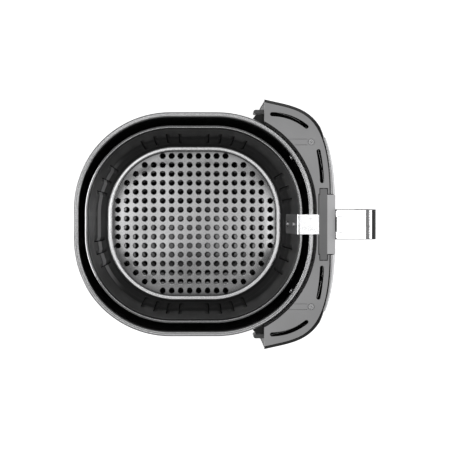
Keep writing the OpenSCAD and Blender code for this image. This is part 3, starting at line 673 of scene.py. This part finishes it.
def make_basket():
    """Basket wall: bead round the floor, drafted wall with a shoulder, louvred vents, rolled rim."""
    outline = Outline()
    vents = sorted((outline.parameter(face, along), side) for face, along, side in vent_places())
    columns = wall_columns(outline, vents)
    levels, outer, inner = basket_levels()
    points = []
    for half_x, half_y, radius, z in levels:
        for u in columns:
            (x, y), n = outline.place(u, half_x, half_y, radius)
            out = pressed_out(outline, vents, u, z)
            points.append((x + n[0] * out, y + n[1] * out, z))
    slots = set()
    for v, _ in vents:
        edge = (v - VENT_W / 2) % outline.length
        slots.add(min(range(len(columns)), key=lambda i: abs(columns[i] - edge)))
    faces = wall_faces(len(levels), len(columns), slots, outer, inner)
    basket = put("basket_wall", mesh_from("basket", points, faces), "basket", sharp=40)

    # Lighter copies of the coating on the bead, the rim and the shoulder are painted highlight; the
    # darker one on the lower inner wall is painted shade
    def finish(centre, normal):
        inward = normal.x * centre.x + normal.y * centre.y < 0
        if centre.z < FLOOR_TOP + BEAD_HIGHLIGHT_TOP:
            return "bead_coating"
        if centre.z > BASKET_Z - 2 * ROLL and not (inward and normal.z < 0.94):
            return "rim_coating"
        if inward and SHOULDER_LOW < centre.z < SHOULDER_HIGH - 1:
            return "shoulder_coating"
        if inward and centre.z < SHOULDER_LOW:
            return "lower_coating"
        return None

    names = ("rim_coating", "shoulder_coating", "lower_coating", "bead_coating")
    paint(basket, names, finish)
    # The shoulder's painted highlight is on the rear wall only: elsewhere painted shade dims it
    shade_points(basket, lambda x, y: 0.1 + 0.9 * smooth((y - 74) / 24))


# ---------------------------------------------------------------- basket floor

FLOOR_LOW, FLOOR_HIGH = (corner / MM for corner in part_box("basket_floor"))
FLOOR_R = 74.0
FLOOR_SKIN = 0.02
# The plate sinks over the first width from its edge; painted shade darkens its colour over the
# second
SINK_WIDTH, PAINTED_SHADE_WIDTH = 20.0, 17.0
HOLE_PITCH, HOLE_R, HOLE_SIDES = 10.0, 2.8, 20
HOLE_ROLL = HOLE_R + 0.75
# Holes in each row, from a long side of the plate to its middle
HOLE_ROWS = (8, 12, 14, 16, 16, 18, 18, 18)
# Rings of points inside the plate's edge, for its curve
EDGE_RINGS = (2.0, 4.0, 6.0, 8.0, 10.5, 13.0, 16.0, 20.0)


def edge_distance(x, y):
    """Distance of a place on the floor plate from its edge."""
    dx = max(0.0, abs(x) - (FLOOR_HIGH.x - FLOOR_R))
    dy = max(0.0, abs(y) - (FLOOR_HIGH.y - FLOOR_R))
    if dx and dy:
        return FLOOR_R - math.hypot(dx, dy)
    return min(FLOOR_HIGH.x - abs(x), FLOOR_HIGH.y - abs(y))


def sink(x, y):
    """How far the floor plate has sunk at a place."""
    t = max(0.0, 1 - edge_distance(x, y) / SINK_WIDTH)
    return FLOOR_SINK * t * t


def hole_centres():
    """Centres of the floor's holes: a square grid in rows on both sides of the middle."""
    return [
        (side * (len(HOLE_ROWS) - i - 0.5) * HOLE_PITCH, (k - (n - 1) / 2) * HOLE_PITCH)
        for i, n in enumerate(HOLE_ROWS)
        for side in (-1, 1)
        for k in range(n)
    ]


def near_hole(x, y, centres, reach):
    return any((x - cx) ** 2 + (y - cy) ** 2 < reach ** 2 for cx, cy in centres)


def floor_plan(centres, circle):
    """Flat triangles between the plate's outline and the holes' rolled edges.

    Returns the points, the triangles, and the numbers of the points on each loop, outline first.
    """
    loops = [[p[:2] for p in rounded_box(FLOOR_HIGH.x, FLOOR_HIGH.y, FLOOR_R, 0)]]
    loops += [[(cx + HOLE_ROLL * c, cy + HOLE_ROLL * s) for c, s in circle] for cx, cy in centres]
    flat, edges, numbers = [], [], []
    for loop in loops:
        first = len(flat)
        flat += loop
        numbers.append(range(first, len(flat)))
        edges += [(first + i, first + (i + 1) % len(loop)) for i in range(len(loop))]
    for inset in EDGE_RINGS:
        ring = shrunk(FLOOR_HIGH.x, FLOOR_HIGH.y, FLOOR_R, inset, 0)
        for x, y, _ in rounded_box(*ring, arc=18, straight=6):
            if not near_hole(x, y, centres, HOLE_ROLL + 0.6):
                flat.append((x, y))
    points, _, faces, origin, _, _ = delaunay_2d_cdt(
        [Vector(p) for p in flat], edges, [], 1, 1e-5
    )
    where = {old: new for new, olds in enumerate(origin) for old in olds}
    plates = []
    for face in faces:
        x = sum(points[i][0] for i in face) / len(face)
        y = sum(points[i][1] for i in face) / len(face)
        if not near_hole(x, y, centres, HOLE_ROLL * 0.96):
            plates.append(face)
    return points, plates, [[where[i] for i in loop] for loop in numbers]


def make_floor():
    """Perforated floor: punched holes with rolled edges in a plate that sinks to its edge."""
    centres = hole_centres()
    turns = [2 * math.pi * i / HOLE_SIDES for i in range(HOLE_SIDES)]
    circle = [(math.cos(a), math.sin(a)) for a in turns]
    points, plates, loops = floor_plan(centres, circle)
    count = len(points)
    top = FLOOR_HIGH.z - FLOOR_SKIN
    thick = FLOOR_HIGH.z - FLOOR_LOW.z - 2 * FLOOR_SKIN
    solid = [(p[0], p[1], top - sink(p[0], p[1])) for p in points]
    solid += [(x, y, z - thick) for x, y, z in solid]
    faces = [tuple(f) for f in plates] + [tuple(i + count for i in reversed(f)) for f in plates]
    border = loops[0]
    for i, a in enumerate(border):
        b = border[(i + 1) % len(border)]
        faces.append((a, a + count, b + count, b))
    # Each hole's wall as (radius, drop below the rolled edge's start)
    section = ((HOLE_R + 0.3, 0.1), (HOLE_R + 0.06, 0.32), (HOLE_R, 0.7), (HOLE_R, thick))
    for (cx, cy), upper in zip(centres, loops[1:]):
        base = solid[upper[0]][2]
        rings = [upper]
        for r, drop in section:
            first = len(solid)
            solid += [(cx + r * c, cy + r * s, base - drop) for c, s in circle]
            rings.append(range(first, first + HOLE_SIDES))
        rings.append([i + count for i in upper])
        for one, two in zip(rings, rings[1:]):
            for i in range(HOLE_SIDES):
                k = (i + 1) % HOLE_SIDES
                faces.append((one[i], one[k], two[k], two[i]))
    mesh = mesh_from("floor", solid, faces)
    plate = put("basket_floor_plate", mesh, "basket_floor", sharp=8, flat=True)
    # Painted shade: the plate's colour darkens towards its edge, to 0.3 at the edge
    shade_points(plate, lambda x, y: 0.3 + 0.7 * smooth(edge_distance(x, y) / PAINTED_SHADE_WIDTH))


# ---------------------------------------------------------------- the rest

# Nodes whose CAD shape is right, with the radius of their rounded edges
BEVELS = {
    "pan_rivets": 0.5,
    "pan_bracket": 0.4,
    "front_frame": 0.25,
    "right_cover": 0.3,
    "left_cover": 0.3,
    "cover_screws": 0.2,
    "side_tabs": 0.6,
    "catch_plate": 0.25,
    "bracket_plate": 0.35,
    "basket_rivets": 0.5,
    "basket_strap": 0.35,
    "handle_base": 0.35,
    "handle_cap": 0.35,
    "handle_core": 0.6,
    "handle_trim": 0.5,
    "grip_back": 0.6,
    "handle_screws": 0.15,
    "release_button": 0.3,
    "latch_lever": 0.3,
    "latch_pin": 0.3,
    "front_shell": 0.0,
    "front_fascia": 0.0,
}
# The polished plate stops this far short of the grip's sides, from the last few mm of its width
TRIM_INSET, TRIM_EDGE = 0.7, 3.0


def narrow_trim(mesh):
    """Draws the polished plate's two sides in, so that the grip shows beside it."""
    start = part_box("handle_trim")[1].x - TRIM_EDGE * MM
    for vertex in mesh.vertices:
        past = abs(vertex.co.x) - start
        if past > 0:
            place = start + past * (1 - TRIM_INSET / TRIM_EDGE)
            vertex.co.x = math.copysign(place, vertex.co.x)


def make_rest():
    """Copies of CAD shapes with rounded edges and a real finish, and the springs as they are."""
    for node, bevel in BEVELS.items():
        mesh = refined(node, bevel)
        if node == "handle_trim":
            narrow_trim(mesh)
        put(node + "_piece", mesh, node, sharp=50, flat=True)
    for node in ("button_spring", "latch_spring"):
        part = frame["nodes"][node]
        part.data.materials.clear()
        part.data.materials.append(MATERIALS[SLOT_OF[node]])


# ---------------------------------------------------------------- studio

LAMP_HEIGHT = 2.3
WHITE = (1, 1, 1, 1)
GLOW, SURROUNDINGS = 0.9, 0.2
CAMERA_PLACE = (0.0203, -0.0065, 1.692)
CAMERA_AIM = (-0.0007, -0.0328, 0.125)
LENS, SENSOR = 119.36, 36


def axes(right, up, back):
    """Turn of an object whose own X, Y and Z lie along three directions."""
    return Matrix([(right[i], up[i], back[i]) for i in range(3)]).to_euler()


def softbox(name, place, aim, width, height, radiance):
    """A soft light, width along X, facing a point. It isn't seen by the camera."""
    light = bpy.data.lights.new(name, "AREA")
    light.shape = "RECTANGLE"
    light.size, light.size_y = width, height
    light.energy = radiance * 4 * width * height
    lamp = bpy.data.objects.new(name, light)
    back = (Vector(place) - Vector(aim)).normalized()
    right = (Vector((1, 0, 0)) - back * back.x).normalized()
    lamp.location = place
    lamp.rotation_euler = axes(right, back.cross(right), back)
    lamp.visible_camera = False
    bpy.context.scene.collection.objects.link(lamp)


def overhead(name, x, y, width, length, radiance):
    """A soft light straight above a place."""
    softbox(name, (x, y, LAMP_HEIGHT), (x, y, 0), width, length, radiance)


def make_studio():
    """White floor, dim surroundings, lights overhead and one beyond each end."""
    bpy.ops.mesh.primitive_plane_add(size=6, location=(0, 0, -0.0005))
    floor = bpy.context.object
    floor.name = "studio_floor"
    s = Shader("studio_floor")
    s.tones(s.noise(6, 2.0), 0.78, 0.8)
    s.set(Roughness=0.9, Emission_Color=WHITE, Emission_Strength=GLOW)
    floor.data.materials.append(s.material)

    world = bpy.data.worlds.new("studio")
    world.use_nodes = True
    world.node_tree.nodes["Background"].inputs["Color"].default_value = WHITE
    world.node_tree.nodes["Background"].inputs["Strength"].default_value = SURROUNDINGS
    bpy.context.scene.world = world

    # Brightest over the rear, then the front, dim over the middle and dark beside them
    overhead("rear_wide", 0, 0.26, 0.24, 0.38, 1.3)
    overhead("rear_core", 0, 0.16, 0.18, 0.16, 4.9)
    overhead("middle_wide", 0, 0.01, 0.24, 0.12, 0.4)
    overhead("front_wide", 0, -0.16, 0.24, 0.22, 0.8)
    overhead("front_core", 0, -0.15, 0.18, 0.18, 2.2)
    overhead("front_far", 0, -0.52, 0.26, 0.46, 1.9)
    overhead("overhead_right", 0.4, 0.08, 0.26, 0.9, 0.9)
    overhead("overhead_left", -0.42, 0.08, 0.24, 0.9, 0.35)
    softbox("rear_light", (0, 1.4, 0.45), (0, 0, 0.1), 1.6, 0.8, 3.0)
    softbox("front_light", (0, -1.35, 0.6), (0, 0, 0.1), 1.6, 0.9, 1.4)


def make_camera():
    """Straight down from 1.7 m, with the handle to the right and +X up in the frame."""
    data = bpy.data.cameras.new("camera")
    data.sensor_width = SENSOR
    data.lens = LENS
    camera = bpy.data.objects.new("camera", data)
    camera.location = CAMERA_PLACE
    back = (camera.location - Vector(CAMERA_AIM)).normalized()
    right = Vector((1, 0, 0)).cross(back).normalized()
    camera.rotation_euler = axes(right, back.cross(right), back)
    bpy.context.scene.collection.objects.link(camera)
    bpy.context.scene.camera = camera


make_camera()
make_studio()
make_pan()
make_basket()
make_floor()
make_rest()
bpy.context.scene.view_settings.view_transform = "Standard"
